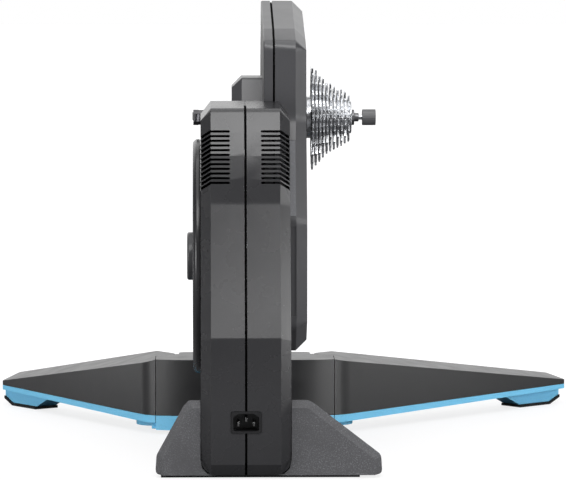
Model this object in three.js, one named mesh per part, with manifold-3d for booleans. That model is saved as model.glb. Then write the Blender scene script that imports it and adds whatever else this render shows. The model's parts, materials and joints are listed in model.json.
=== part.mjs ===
// A direct drive bike trainer with folding legs, in millimetres.
// +Z is up, +Y is the riding direction and +X is the drive side. The origin is under the middle
// of the footprint, on the floor, so X = 0 is also the middle plane of the bike.
import * as THREE from "three";
import { mergeVertices } from "three/addons/utils/BufferGeometryUtils.js";
import Module from "manifold-3d";

const wasm = await Module();
wasm.setup();

// Driving sizes
const fit = 0.3; // gap between pieces that seat on each other
const overrun = 4; // how far a cutter passes the piece that it cuts
const bikeSpacing = 130; // between the two dropout faces
const axleY = -72;
const shaftBehind = 40; // how far the flywheel's shaft lies behind the axle
const flywheelRadius = 105;
const flywheelRoom = 15; // between the flywheel and its housing's wall
const railHigh = 60; // top of the rail that carries the machine
const housingAboveRail = 17;
const axleAboveHousing = 17;
const smallPulley = 13;
const largePulley = 96;
const towerWall = 3;
const housingRadius = flywheelRadius + flywheelRoom + towerWall;
const flywheelY = axleY - shaftBehind;
const flywheelZ = railHigh + housingAboveRail + housingRadius;
const axleZ = flywheelZ + housingRadius + axleAboveHousing;
const dropoutLeft = -bikeSpacing / 2;
const dropoutRight = bikeSpacing / 2;

// Colours
const paint = (color, roughness, metalness) =>
  new THREE.MeshStandardMaterial({ color, roughness, metalness });
const shellGrey = paint(0x4a4b4d, 0.55, 0);
const coverGrey = paint(0x55575a, 0.6, 0);
const textureGrey = paint(0x4c4e51, 0.85, 0);
const deepBlack = paint(0x0c0c0d, 0.7, 0);
const legBlack = paint(0x2c2d2f, 0.45, 0.1);
const trayBlue = paint(0x5bb8e8, 0.5, 0);
const rubberBlack = paint(0x1b1b1c, 0.9, 0);
const steel = paint(0xc4c6c9, 0.25, 1);
const darkSteel = paint(0x4d5054, 0.4, 0.9);
const aluminium = paint(0xa9acb0, 0.4, 0.9);
const boardGreen = paint(0x1f5a3a, 0.5, 0);

// Solids: three.js geometry in, manifold solids for cutting, meshes out
const turn = Math.PI * 2;
const sidewise = new THREE.Matrix4().makeBasis(
  new THREE.Vector3(0, 1, 0),
  new THREE.Vector3(0, 0, 1),
  new THREE.Vector3(1, 0, 0),
);
const lengthwise = new THREE.Matrix4().makeRotationX(Math.PI / 2);

function solid(geometry) {
  const bare = geometry.clone();
  bare.deleteAttribute("normal");
  bare.deleteAttribute("uv");
  const merged = mergeVertices(bare, 1e-3);
  return new wasm.Manifold(
    new wasm.Mesh({
      numProp: 3,
      vertProperties: merged.attributes.position.array,
      triVerts: new Uint32Array(merged.index.array),
    }),
  );
}

function mesh(name, shape, material) {
  const made = shape.getMesh();
  const geometry = new THREE.BufferGeometry();
  geometry.setAttribute("position", new THREE.BufferAttribute(made.vertProperties, 3));
  geometry.setIndex(new THREE.BufferAttribute(made.triVerts, 1));
  geometry.computeVertexNormals();
  const piece = new THREE.Mesh(geometry, material);
  piece.name = name;
  return piece;
}

const join = (first, ...rest) => rest.reduce((sum, next) => sum.add(next), first);
const cut = (first, ...rest) => rest.reduce((left, next) => left.subtract(next), first);
const points = (outline) => outline.map(([a, b]) => new THREE.Vector2(a, b));

function box(x0, x1, y0, y1, z0, z1) {
  const block = new THREE.BoxGeometry(x1 - x0, y1 - y0, z1 - z0);
  return solid(block.translate((x0 + x1) / 2, (y0 + y1) / 2, (z0 + z1) / 2));
}

// A solid through rings of the same count of [a, b] points, each ring at its own height.
function loft(rings, matrix, holes = []) {
  const loops = [rings.map((ring) => ring.outline), ...holes.map((h) => rings.map(() => h))];
  const position = [];
  const index = [];
  const starts = [];
  loops.forEach((stack, l) => {
    const backwards = THREE.ShapeUtils.isClockWise(points(stack[0])) !== l > 0;
    const turnedRound = stack.map((outline) => (backwards ? outline.toReversed() : outline));
    const count = stack[0].length;
    const start = position.length / 3;
    starts.push({ start, count, stack: turnedRound });
    turnedRound.forEach((outline, k) =>
      outline.forEach(([a, b]) => position.push(a, b, rings[k].at)),
    );
    for (let k = 0; k + 1 < rings.length; k += 1)
      for (let i = 0; i < count; i += 1) {
        const j = (i + 1) % count;
        const low = start + k * count;
        const high = low + count;
        index.push(low + i, low + j, high + j, low + i, high + j, high + i);
      }
  });
  for (const k of [0, rings.length - 1]) {
    const contours = starts.map(({ stack }) => points(stack[k]));
    const faces = THREE.ShapeUtils.triangulateShape(contours[0], contours.slice(1));
    const vertex = starts.flatMap(({ start, count }) =>
      Array.from({ length: count }, (_, i) => start + k * count + i),
    );
    faces.forEach(([a, b, c]) =>
      index.push(...(k ? [a, b, c] : [c, b, a]).map((v) => vertex[v])),
    );
  }
  const geometry = new THREE.BufferGeometry();
  geometry.setAttribute("position", new THREE.Float32BufferAttribute(position, 3));
  geometry.applyMatrix4(matrix);
  return new wasm.Manifold(
    new wasm.Mesh({
      numProp: 3,
      vertProperties: geometry.attributes.position.array,
      triVerts: new Uint32Array(index),
    }),
  );
}
const slab = (outline, from, to, matrix, holes) =>
  loft([{ outline, at: from }, { outline, at: to }], matrix, holes);
const slabX = (outline, x0, x1, holes) => slab(outline, x0, x1, sidewise, holes);
const slabY = (outline, y0, y1, holes) => slab(outline, -y1, -y0, lengthwise, holes);
const slabZ = (outline, z0, z1, holes) => slab(outline, z0, z1, new THREE.Matrix4(), holes);

// A slab whose rim is bevelled at its two ends by their own amounts, from [a, b, radius] corners.
// A bevel reaches `riseShare` times as far along the face as it does through the thickness.
function bevelled(corners, from, to, first, last, matrix, riseShare = 1, steps = 3) {
  const full = rounded(corners, steps);
  const inset = (amount) => rounded(insetCorners(corners, amount * riseShare), steps);
  const rings = [];
  if (first) rings.push({ outline: inset(first), at: from });
  rings.push({ outline: full, at: from + first }, { outline: full, at: to - last });
  if (last) rings.push({ outline: inset(last), at: to });
  return loft(rings, matrix);
}

// A profile of [radius, x] points turned about the X direction through (y, z).
function turned(profile, y, z, sides = 16) {
  const closed = [[0, profile[0][1]], ...profile, [0, profile.at(-1)[1]]];
  const lathe = new THREE.LatheGeometry(points(closed), sides);
  lathe.rotateZ(-Math.PI / 2);
  return solid(lathe.translate(0, y, z));
}
const rod = (radius, x0, x1, y, z, sides) =>
  turned([[radius, x0], [radius, x1]], y, z, sides);
const tube = (radius, bore, x0, x1, y, z, sides) =>
  cut(rod(radius, x0, x1, y, z, sides), rod(bore, x0 - overrun, x1 + overrun, y, z, sides));

function upright(radius, z0, z1, x, y, sides = 20) {
  const post = new THREE.CylinderGeometry(radius, radius, z1 - z0, sides);
  post.rotateX(Math.PI / 2);
  return solid(post.translate(x, y, (z0 + z1) / 2));
}

function circle(radius, y, z, sides = 40, from = 0, sweep = turn) {
  const steps = sweep === turn ? sides : sides + 1;
  return Array.from({ length: steps }, (_, i) => {
    const angle = from + (sweep * i) / sides;
    return [y + radius * Math.cos(angle), z + radius * Math.sin(angle)];
  });
}

// Rounds each corner [a, b, radius] of an outline with an arc of `steps` chords, which takes no
// more than a share of the shorter side beside it.
const sideShare = 0.49;
function rounded(corners, steps = 3, share = sideShare) {
  const out = [];
  corners.forEach(([a, b, radius = 0], i) => {
    const here = new THREE.Vector2(a, b);
    if (!radius) return out.push([a, b]);
    const before = new THREE.Vector2(...corners.at(i - 1).slice(0, 2)).sub(here);
    const next = corners[(i + 1) % corners.length];
    const after = new THREE.Vector2(next[0], next[1]).sub(here);
    const most = Math.min(before.length(), after.length()) * share;
    before.normalize();
    after.normalize();
    const half = Math.acos(THREE.MathUtils.clamp(before.dot(after), -1, 1)) / 2;
    const reach = Math.min(radius / Math.tan(half), most);
    const start = here.clone().addScaledVector(before, reach);
    const end = here.clone().addScaledVector(after, reach);
    const bend = new THREE.QuadraticBezierCurve(start, here, end);
    bend.getPoints(steps).forEach((p) => out.push([p.x, p.y]));
  });
  return out;
}

// Moves every side of a counter-clockwise outline inwards, and keeps each corner rounded.
function insetCorners(corners, distance) {
  const least = 0.5;
  return corners.map((here, i) => {
    const before = corners.at(i - 1);
    const after = corners[(i + 1) % corners.length];
    const a = new THREE.Vector2(here[0] - before[0], here[1] - before[1]).normalize();
    const b = new THREE.Vector2(after[0] - here[0], after[1] - here[1]).normalize();
    const inward = new THREE.Vector2(-a.y - b.y, a.x + b.x);
    const scale = (2 * distance) / Math.max(inward.lengthSq(), 1);
    const radius = here[2] ? Math.max(here[2] - distance, least) : 0;
    return [here[0] + inward.x * scale, here[1] + inward.y * scale, radius];
  });
}

const trainer = new THREE.Group();
const add = (name, shape, material) => trainer.add(mesh(name, shape, material));
const atAxle = [axleY, axleZ];
const atFlywheel = [flywheelY, flywheelZ];

// Rear tower and flywheel housing: one outline, two half shells with a dark groove between
const towerMiddle = -49;
const towerHalf = 44;
const towerBevel = 10;
const towerRiseShare = 1.3;
const groove = 2.4;
const towerAboveAxle = 17;
const towerTopRise = 5;
const creaseBehind = 98; // from the flywheel housing back to the crease
const topBehind = 23;
const shoulderAhead = 47;
const creaseZ = 137;
const backShares = [
  [0.153, 0.103],
  [0.272, 0.207],
  [0.356, 0.31],
  [0.396, 0.404],
  [0.408, 0.424],
  [0.614, 0.643],
  [0.815, 0.835],
]; // shares of the way back and down from the top's rear edge to the crease
const skirtBulge = 3;
const skirtShares = [
  [0.7, 0.2],
  [1, 0.46],
  [0.9, 0.72],
]; // shares of the bulge, and of the way down from the crease to the heel
const heelProud = 1.5;
const heelDeep = 48;
const heelZ = 3;
const heelBevelHigh = 11.5;
const heelBevelDeep = 9.5;
const heelRound = 15;
const bellyRise = 3;
const creaseY = flywheelY - housingRadius - creaseBehind;
const towerTop = axleZ + towerAboveAxle;
const towerTopRear = flywheelY - housingRadius - topBehind;
const shoulderY = flywheelY - housingRadius + shoulderAhead;
const heelY = creaseY - heelProud;
const heelFrontY = heelY + heelDeep;
const bellyZ = flywheelZ - housingRadius + bellyRise;
const towerRound = 8;
const towerLeft = towerMiddle - towerHalf;
const towerRight = towerMiddle + towerHalf;
const towerCorners = [
  [shoulderY, towerTop + towerTopRise, towerRound],
  [towerTopRear, towerTop, towerRound],
  ...backShares.map(([back, down]) => [
    towerTopRear + (creaseY - towerTopRear) * back,
    towerTop + (creaseZ - towerTop) * down,
  ]),
  [creaseY, creaseZ, towerRound],
  ...skirtShares.map(([bulge, down]) => [
    creaseY - skirtBulge * bulge,
    creaseZ + (heelZ - creaseZ) * down,
  ]),
  [heelY, heelZ + heelBevelHigh],
  [heelY + heelBevelDeep, heelZ],
  [heelFrontY, heelZ, towerRound],
  [heelFrontY, bellyZ],
  [flywheelY, bellyZ],
  ...circle(housingRadius, ...atFlywheel, 18, -Math.PI * 0.45, Math.PI * 0.98),
];

// Belt housing: a tall faceted case round both pulleys
const beltCaseLeft = -30;
const beltCaseRight = 13;
const beltSeamLeft = -20.8;
const beltSeamRight = -18.6;
const beltBevel = 11;
const beltLeftBevel = 1;
const beltWall = 2.8;
const caseAbovePulley = 24;
const caseTopAhead = 68;
const caseTopBehind = 78;
const caseTopFall = 27;
const caseBehindPulley = 28;
const caseEdgeFall = 39.5;
const caseBendAbove = 5;
const caseLean = 40;
const caseLeanAbove = 44;
const caseRearBelow = 62.5;
const caseBottomBelow = 88.5;
const caseBottomInset = 36;
const caseBottomAhead = 50;
const caseKneeAhead = 106;
const caseKneeBelow = 32;
const caseAheadPulley = 24;
const caseFrontBelow = 48;
const caseFrontAbove = 58;
const smallRound = 12;
const largeRound = 32;
const caseTop = axleZ + largePulley + caseAbovePulley;
const caseRear = axleY - largePulley - caseBehindPulley;
const caseLeanY = caseRear - caseLean;
const caseBendZ = axleZ + caseBendAbove;
const caseLeanZ = flywheelZ + caseLeanAbove;
const caseRearLow = flywheelZ - caseRearBelow;
const caseBottom = flywheelZ - caseBottomBelow;
const caseBottomFront = flywheelY + caseBottomAhead;
const caseFront = axleY + largePulley + caseAheadPulley;
const caseCorners = [
  [axleY + caseTopAhead, caseTop, smallRound],
  [axleY - caseTopBehind, caseTop - caseTopFall, smallRound],
  [caseRear, caseTop - caseEdgeFall, smallRound],
  [caseRear, caseBendZ, largeRound],
  [caseLeanY, caseLeanZ, largeRound],
  [caseLeanY, caseRearLow, smallRound],
  [caseLeanY + caseBottomInset, caseBottom, smallRound],
  [caseBottomFront, caseBottom, smallRound],
  [flywheelY + caseKneeAhead, flywheelZ - caseKneeBelow, largeRound],
  [caseFront, axleZ - caseFrontBelow, largeRound],
  [caseFront, axleZ + caseFrontAbove, largeRound],
];

// Square boss on the left of the belt housing, bevelled round its outer face
const bossInside = 4;
const bossLeft = dropoutLeft + bossInside;
const bossHalf = 42;
const bossBelow = 31.5;
const bossBevel = 10;
const bossRound = 4;
const bossSlopeDeep = 10; // slope that the boss's rear face leans back by
const bossSlopeHigh = 26;
const bossCorners = (grow) => [
  [axleY + bossHalf + grow, axleZ + bossHalf + grow, bossRound],
  [axleY - bossHalf - grow + bossSlopeDeep, axleZ + bossHalf + grow, bossRound],
  [axleY - bossHalf - grow, axleZ + bossHalf + grow - bossSlopeHigh, bossRound],
  [axleY - bossHalf - grow, axleZ - bossBelow - grow, bossRound],
  [axleY + bossHalf + grow, axleZ - bossBelow - grow, bossRound],
];

// Steel rail along the floor, with the main plate standing on it
const railLeft = -80;
const railRight = -18;
const railLow = 12;
const railWall = 3;
const plateLeft = beltCaseLeft + beltWall + fit;
const plateThick = 6;
const plateRight = plateLeft + plateThick;
const plateLegBehind = 48;
const plateLegAhead = 42;
const plateLegRear = flywheelY - plateLegBehind;
const plateLegFront = flywheelY + plateLegAhead;
const plateLeg = (grow) => [
  plateLeft - grow,
  plateRight + grow,
  plateLegRear - grow,
  plateLegFront + grow,
];

// Twelve cooling slots on each side, level on the back and falling away over the bevel
const slotCount = 12;
const slotPitch = 4.5;
const slotHeight = 2.3;
const slotHeightOnBevel = 3.2;
const slotBelowTop = 22;
const slotTopZ = towerTop - slotBelowTop;
const slotReach = 18;
const slotFall = 7;
const slotDepth = 46;

function ventSlot(side, z) {
  const edge = towerMiddle + side * towerHalf;
  const bend = edge - side * towerBevel;
  const rim = edge + side * overrun;
  const end = bend - side * slotReach;
  const drop = (slotFall * (towerBevel + overrun)) / towerBevel;
  const h = slotHeight / 2;
  const high = slotHeightOnBevel / 2;
  const outline = [
    [end, z + h],
    [bend, z + h],
    [bend, z + high],
    [rim, z + high - drop],
    [rim, z - high - drop],
    [bend, z - high],
    [bend, z - h],
    [end, z - h],
    [end - side * h, z],
  ];
  return slabY(outline, creaseY - overrun, towerTopRear + slotDepth);
}

// Mains inlet seat in the back of the tower
const inletHalfWide = 14.6;
const inletHalfHigh = 10.6;
const inletRound = 2.5;
const inletZ = 56;
const inletDepth = 22;
const inletOutline = (grow) =>
  rounded([
    [towerMiddle + inletHalfWide + grow, inletZ + inletHalfHigh + grow, inletRound],
    [towerMiddle - inletHalfWide - grow, inletZ + inletHalfHigh + grow, inletRound],
    [towerMiddle - inletHalfWide - grow, inletZ - inletHalfHigh - grow, inletRound],
    [towerMiddle + inletHalfWide + grow, inletZ - inletHalfHigh - grow, inletRound],
  ]);
const inletHole = slabY(inletOutline(fit), creaseY - overrun, creaseY + inletDepth + overrun);
const bossRoom = bevelled(
  bossCorners(fit),
  bossLeft - fit,
  towerRight + overrun,
  bossBevel,
  0,
  sidewise,
);

// The heel as seen from behind: its lower corners are round
const heelOutline = (grow) =>
  rounded([
    [towerRight + grow, axleZ],
    [towerLeft - grow, axleZ],
    [towerLeft - grow, heelZ - grow, heelRound + grow],
    [towerRight + grow, heelZ - grow, heelRound + grow],
  ]);

function tower() {
  const ends = [towerLeft, towerRight, towerBevel, towerBevel];
  const outer = bevelled(towerCorners, ...ends, sidewise, towerRiseShare).intersect(
    join(
      slabY(heelOutline(0), creaseY - overrun, flywheelY),
      box(towerLeft, towerRight, heelFrontY, caseFront + housingRadius, 0, caseTop),
      box(towerLeft, towerRight, creaseY, caseFront, axleZ, caseTop),
    ),
  );
  const inner = towerBevel - towerWall / 2;
  const hollow = bevelled(
    insetCorners(towerCorners, towerWall),
    towerLeft + towerWall,
    towerRight - towerWall,
    inner,
    inner,
    sidewise,
    towerRiseShare,
    1,
  );
  const vents = [];
  for (let i = 0; i < slotCount; i += 1)
    for (const side of [-1, 1]) vents.push(ventSlot(side, slotTopZ - i * slotPitch));
  const seat = rounded(insetCorners(caseCorners, -fit * 2));
  const beltRoom = slabX(seat, beltCaseLeft - fit * 2, towerRight + overrun);
  const legSlot = box(...plateLeg(fit), railHigh, caseBottom + overrun);
  return cut(outer, hollow, ...vents, inletHole, beltRoom, bossRoom, legSlot);
}
const wholeTower = tower();
const farY = [creaseY - overrun, caseFront + overrun];
const farZ = [-overrun, caseTop + overrun];
const lipDepth = 2;
const grooveReach = 26; // how far the groove runs forward on the top
const lip = cut(
  box(
    towerMiddle - groove,
    towerMiddle + groove,
    towerTopRear + grooveReach,
    shoulderY - towerBevel,
    axleZ,
    caseTop,
  ),
  slabX(rounded(insetCorners(towerCorners, lipDepth)), towerLeft, towerRight),
);
const window = 30; // radius of the opening in the left shell behind the flywheel's cover

// The groove is open down the back and closed on the top, where the shells meet with thin lips.
const grooveRoom = cut(box(towerMiddle - groove / 2, towerMiddle + groove / 2, ...farY, ...farZ), lip);
add(
  "shell_left",
  cut(
    wholeTower,
    grooveRoom,
    box(towerMiddle - fit / 2, towerRight + overrun, ...farY, ...farZ),
    rod(window, towerLeft - overrun, towerLeft + towerBevel, ...atFlywheel),
  ),
  shellGrey,
);
add(
  "shell_right",
  cut(
    wholeTower,
    grooveRoom,
    box(towerLeft - overrun, towerMiddle + fit / 2, ...farY, ...farZ),
  ),
  shellGrey,
);

// The dark seal that shows in the groove, in two strips that end at the boss and at the inlet
const sealSink = 2.6;
const sealDepth = 6;
const seal = cut(
  slabX(
    rounded(insetCorners(towerCorners, sealSink)),
    towerMiddle - groove / 2 + fit,
    towerMiddle + groove / 2 - fit,
    [rounded(insetCorners(towerCorners, sealSink + sealDepth))],
  ),
  inletHole,
  bossRoom,
);
const rearStrip = join(
  box(towerLeft, towerRight, creaseY - overrun, creaseY + inletDepth, inletZ, towerTop),
  box(towerLeft, towerRight, creaseY - overrun, axleY - bossHalf, creaseZ, towerTop + overrun),
);
add("seam_seal_rear", seal.intersect(rearStrip), deepBlack);
add("seam_seal_base", cut(seal, rearStrip), deepBlack);

// Round outer cover over the flywheel, with a cap in its middle
const coverProud = 8;
const coverStep = 3.3;
const coverChamfer = 3.2;
const coverBore = 20.3;
const coverSides = 40;
const capRadius = 24.5;
const capProud = 6;
const capChamfer = 1.5;
const capSides = 24;
const coverRadius = housingRadius - coverStep;
const coverOut = towerLeft - coverProud;
const capOut = coverOut - capProud;
const coverIn = towerLeft - fit;
add(
  "flywheel_cover",
  cut(
    turned(
      [
        [coverRadius, coverIn],
        [coverRadius, coverOut + coverChamfer],
        [coverRadius - coverChamfer, coverOut],
      ].reverse(),
      ...atFlywheel,
      coverSides,
    ),
    rod(coverBore, coverOut - overrun, coverIn + overrun, ...atFlywheel),
  ),
  shellGrey,
);
add(
  "flywheel_cap",
  join(
    turned(
      [
        [capRadius - capChamfer, capOut],
        [capRadius, capOut + capChamfer],
        [capRadius, coverOut - fit],
      ],
      ...atFlywheel,
      capSides,
    ),
    rod(coverBore - fit, coverOut - 2 * fit, coverIn, ...atFlywheel),
  ),
  coverGrey,
);

// Belt housing: two half shells, the left one with the boss, and a seal in the seam
const caseHollow = (x0, x1, last) =>
  bevelled(insetCorners(caseCorners, beltWall), x0, x1, 0, last, sidewise, 1, 1);
const hubBore = 14.3;
const hubTube = 20;
const axleRadius = 8;
const plateBore = axleRadius + fit;
add(
  "belt_cover_left",
  cut(
    join(
      bevelled(caseCorners, beltCaseLeft, beltSeamLeft, beltLeftBevel, 0, sidewise),
      bevelled(bossCorners(0), bossLeft, beltCaseLeft + beltWall, bossBevel, 0, sidewise),
    ),
    caseHollow(beltCaseLeft + beltWall, beltSeamLeft + overrun, 0),
    rod(plateBore, bossLeft - overrun, beltSeamLeft, ...atAxle),
    rod(hubTube + fit, beltCaseLeft - overrun, beltSeamLeft, ...atFlywheel),
    box(...plateLeg(fit), caseBottom - overrun, caseBottom + beltWall + overrun),
  ),
  coverGrey,
);

// Strips let into the rear rim of the right cover
const rimY = (z) =>
  caseRear - caseLean * THREE.MathUtils.clamp((caseBendZ - z) / (caseBendZ - caseLeanZ), 0, 1);
function rimStrip(x0, x1, z0, z1, out, depth) {
  const outline = [
    [rimY(z0) - out, z0],
    [rimY(z0) + depth, z0],
    [rimY(z1) + depth, z1],
    [rimY(z1) - out, z1],
  ];
  return slabX(outline, x0, x1);
}
const stripBelowBend = 22;
const stripAboveLean = 5;
const stripLow = caseLeanZ + stripAboveLean;
const stripHigh = caseBendZ - stripBelowBend;
const stripRight = 1.4;
const stripDepth = 1.4;
const stripProud = 0.3;
const insertMargin = 12;
const insertLow = caseRearLow + insertMargin;
const insertHigh = caseLeanZ - stripAboveLean;
const insertRight = 1.5;

// Posts inside the right cover, which meet the main plate
const postRadius = 5;
const postInset = 18;
const postSides = 8;
const posts = [
  [caseRear + postInset, caseTop - caseEdgeFall - postInset],
  [caseLeanY + postInset, caseRearLow + postInset],
  [caseBottomFront - postInset / 4, caseBottom + postInset],
];
const freehubRadius = 16.5;
const freehubSides = 12;
const outletRadius = 18.5;
const rightCase = bevelled(caseCorners, beltSeamRight, beltCaseRight, 0, beltBevel, sidewise);
const rightHollow = caseHollow(
  beltSeamRight - overrun,
  beltCaseRight - beltWall,
  beltBevel - beltWall / 2,
);
const wallStart = beltCaseRight - beltWall / 2;
add(
  "belt_cover_right",
  cut(
    join(
      cut(rightCase, rightHollow),
      ...posts.map(([y, z]) =>
        join(
          rod(postRadius, beltSeamRight, wallStart, y, z, postSides).intersect(rightCase),
          rod(postRadius, plateRight + fit, beltSeamRight + overrun, y, z, postSides),
        ),
      ),
    ),
    rod(outletRadius, 0, beltCaseRight + overrun, ...atAxle),
    rimStrip(
      beltSeamRight - overrun,
      stripRight + fit,
      stripLow - fit,
      stripHigh + fit,
      overrun,
      stripDepth,
    ),
    rimStrip(
      beltSeamRight - overrun,
      insertRight + fit,
      insertLow - fit,
      insertHigh + fit,
      overrun,
      stripDepth,
    ),
  ),
  coverGrey,
);
add(
  "rim_cover",
  rimStrip(beltSeamRight + fit, stripRight, stripLow, stripHigh, stripProud, stripDepth - fit),
  textureGrey,
);
add(
  "belt_case_seal",
  slabX(
    rounded(insetCorners(caseCorners, stripDepth + fit)),
    beltSeamLeft + fit,
    beltSeamRight - fit,
    [rounded(insetCorners(caseCorners, beltWall + stripDepth), 2)],
  ),
  deepBlack,
);

// Main plate: stands on the rail, holds the axle and carries the flywheel's bearings
const plateHubLeft = -50;
const plateFace = rounded(insetCorners(caseCorners, beltWall + fit), 1);
add(
  "main_plate",
  cut(
    join(
      slabX(plateFace, plateLeft, plateRight),
      box(...plateLeg(0), railHigh + fit, caseBottom + smallRound),
      rod(hubTube, plateHubLeft, plateRight, ...atFlywheel),
    ),
    rod(plateBore, plateLeft - overrun, plateRight + overrun, ...atAxle),
    rod(hubBore, plateHubLeft - overrun, plateRight + overrun, ...atFlywheel),
  ),
  aluminium,
);

// Axle on the bike's rear wheel line: a hollow tube, two end caps and a quick-release skewer
const axleBore = 3;
const boreSides = 16;
const axleLeft = bossLeft + fit;
const capFlange = 2.7;
const capLeftRadius = 14;
const capRightRadius = 8;
const stubRadius = 4.4;
const stubLength = 4.6;
const skewerRadius = 2.5;
const skewerBore = skewerRadius + fit;
const nutOutside = 8.2;
const nutFace = dropoutRight + nutOutside;
const nutLength = 13.9;
const nutRadius = 8.3;
const nutRim = 7.9;
const nutFlutes = 24;
const nutWall = 2;
const headOutside = 5;
const headLength = 30.6;
const headRadius = 8;
const barrelRadius = 7.7;
const crossPin = 2.6;
const cheekOpen = 4.2; // half the slot between the head's two cheeks
const headFace = dropoutLeft - headOutside;
const headEnd = headFace - headLength;
const barrelX = headEnd + barrelRadius + fit;
add(
  "axle_tube",
  tube(axleRadius, axleBore, axleLeft, dropoutRight - capFlange - fit, ...atAxle),
  steel,
);
const endCap = (face, away, radius, seat) =>
  cut(
    join(
      rod(radius, ...[seat, face].sort((a, b) => a - b), ...atAxle),
      rod(stubRadius, ...[seat, face + away * stubLength].sort((a, b) => a - b), ...atAxle),
    ),
    rod(skewerBore, -bikeSpacing, bikeSpacing, ...atAxle),
  );
add("left_end_cap", endCap(dropoutLeft, -1, capLeftRadius, bossLeft - fit), steel);
add("right_end_cap", endCap(dropoutRight, 1, capRightRadius, dropoutRight - capFlange), steel);
add(
  "skewer_rod",
  rod(
    skewerRadius,
    headFace - barrelRadius / 2,
    nutFace + nutLength - nutWall - fit,
    ...atAxle,
    boreSides,
  ),
  steel,
);
const fluted = Array.from({ length: nutFlutes * 2 }, (_, i) => {
  const angle = (turn * i) / (nutFlutes * 2);
  const radius = i % 2 ? nutRim : nutRadius;
  return [axleY + radius * Math.cos(angle), axleZ + radius * Math.sin(angle)];
});
add(
  "skewer_nut",
  cut(
    slabX(fluted, nutFace, nutFace + nutLength),
    rod(skewerBore, nutFace - overrun, nutFace + nutLength - nutWall, ...atAxle, boreSides),
  ),
  darkSteel,
);
const headSides = 16;
const cheekPin = headRadius - fit - crossPin / 2;
add(
  "skewer_head",
  cut(
    rod(headRadius, headEnd, headFace, ...atAxle, headSides),
    box(
      headEnd - overrun,
      barrelX + barrelRadius + fit,
      axleY - headRadius - overrun,
      axleY + headRadius + overrun,
      axleZ - cheekOpen,
      axleZ + cheekOpen,
    ),
    upright(crossPin + fit, axleZ - headRadius, axleZ + headRadius, barrelX, axleY, boreSides),
    rod(skewerBore, barrelX, headFace + overrun, ...atAxle, boreSides),
  ),
  steel,
);
const leverReach = 64;
const leverBow = 9;
const leverThick = 5;
const leverHalf = cheekOpen - fit;
const leverOutline = rounded([
  [barrelX - barrelRadius + fit, axleY],
  [barrelX - leverBow, axleY + leverReach / 2, leverReach / 4],
  [barrelX - leverThick, axleY + leverReach, leverThick / 4],
  [barrelX, axleY + leverReach, leverThick / 4],
  [barrelX - leverBow + leverThick, axleY + leverReach / 2, leverReach / 4],
  [barrelX, axleY],
]);
add(
  "skewer_lever",
  join(
    upright(barrelRadius, axleZ - leverHalf, axleZ + leverHalf, barrelX, axleY),
    upright(crossPin, axleZ - cheekPin, axleZ + cheekPin, barrelX, axleY, boreSides),
    slabZ(leverOutline, axleZ - leverHalf, axleZ + leverHalf),
  ),
  darkSteel,
);

// Belt drive: large pulley on the axle, small one on the flywheel's shaft, belt and tensioner
const pulleyLeft = -16;
const pulleyRight = 4;
const beltLeft = -14;
const beltRight = 2;
const beltThick = 3;
const pulleySides = 24;
const pulleyRim = 8;
const webLeft = -8;
const webRight = -3;
const pulleyHub = 22;
const bearingRadius = hubBore - fit;
add(
  "drive_pulley",
  cut(
    join(
      tube(largePulley, largePulley - pulleyRim, beltLeft, beltRight, ...atAxle, pulleySides),
      rod(largePulley - pulleyRim / 2, webLeft, webRight, ...atAxle, pulleySides),
      rod(pulleyHub, pulleyLeft, pulleyRight, ...atAxle),
    ),
    rod(hubBore, pulleyLeft - overrun, pulleyRight + overrun, ...atAxle),
  ),
  aluminium,
);
const bearing = (x0, x1, outer, inner, at) => tube(outer, inner, x0, x1, ...at, boreSides);
add(
  "pulley_bearing",
  bearing(pulleyLeft + pulleyHub / 8, pulleyRight - pulleyHub / 8, bearingRadius, plateBore, atAxle),
  steel,
);

const pulleyOffset = new THREE.Vector2(axleY - flywheelY, axleZ - flywheelZ);
const pulleyLine = pulleyOffset.angle();
const wrap = Math.acos((smallPulley - largePulley) / pulleyOffset.length());
const wrapSteps = 22;
const chordShare = 1 / Math.cos(wrap / wrapSteps);
const beltLoop = (grow) => [
  ...circle((largePulley + grow) * chordShare, ...atAxle, wrapSteps, pulleyLine - wrap, wrap * 2),
  ...circle(smallPulley + grow + fit, ...atFlywheel, 8, pulleyLine + wrap, turn - wrap * 2),
];
add(
  "belt",
  slabX(beltLoop(fit + beltThick), beltLeft, beltRight, [beltLoop(fit)]),
  rubberBlack,
);

// Tensioner: a roller on an arm, which presses on the back of the belt's front run
const idlerRadius = 15;
const idlerBore = 4.3;
const idlerAlong = 46;
const armThick = 4;
const armWidth = 9;
const armLength = 42;
const runNormal = new THREE.Vector2(1, 0).rotateAround(new THREE.Vector2(), pulleyLine - wrap);
const runAlong = new THREE.Vector2(-runNormal.y, runNormal.x);
const idlerCentre = new THREE.Vector2(...atFlywheel)
  .addScaledVector(runNormal, smallPulley + beltThick + 3 * fit + idlerRadius)
  .addScaledVector(runAlong, idlerAlong);
const atIdler = [idlerCentre.x, idlerCentre.y];
const armPivot = idlerCentre.clone().addScaledVector(runNormal, armLength);
const armSide = runAlong.clone().multiplyScalar(armWidth);
add("idler_pulley", bearing(beltLeft, beltRight, idlerRadius, idlerBore, atIdler), darkSteel);
add(
  "idler_arm",
  join(
    slabX(
      [
        [idlerCentre.x - armSide.x, idlerCentre.y - armSide.y],
        [armPivot.x - armSide.x, armPivot.y - armSide.y],
        [armPivot.x + armSide.x, armPivot.y + armSide.y],
        [idlerCentre.x + armSide.x, idlerCentre.y + armSide.y],
      ],
      plateRight + fit,
      plateRight + fit + armThick,
    ),
    rod(armWidth, plateRight + fit, plateRight + fit + armThick, ...atIdler, boreSides),
    rod(idlerBore - fit, plateRight + fit + armThick / 2, beltRight, ...atIdler, boreSides),
  ),
  steel,
);

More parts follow.
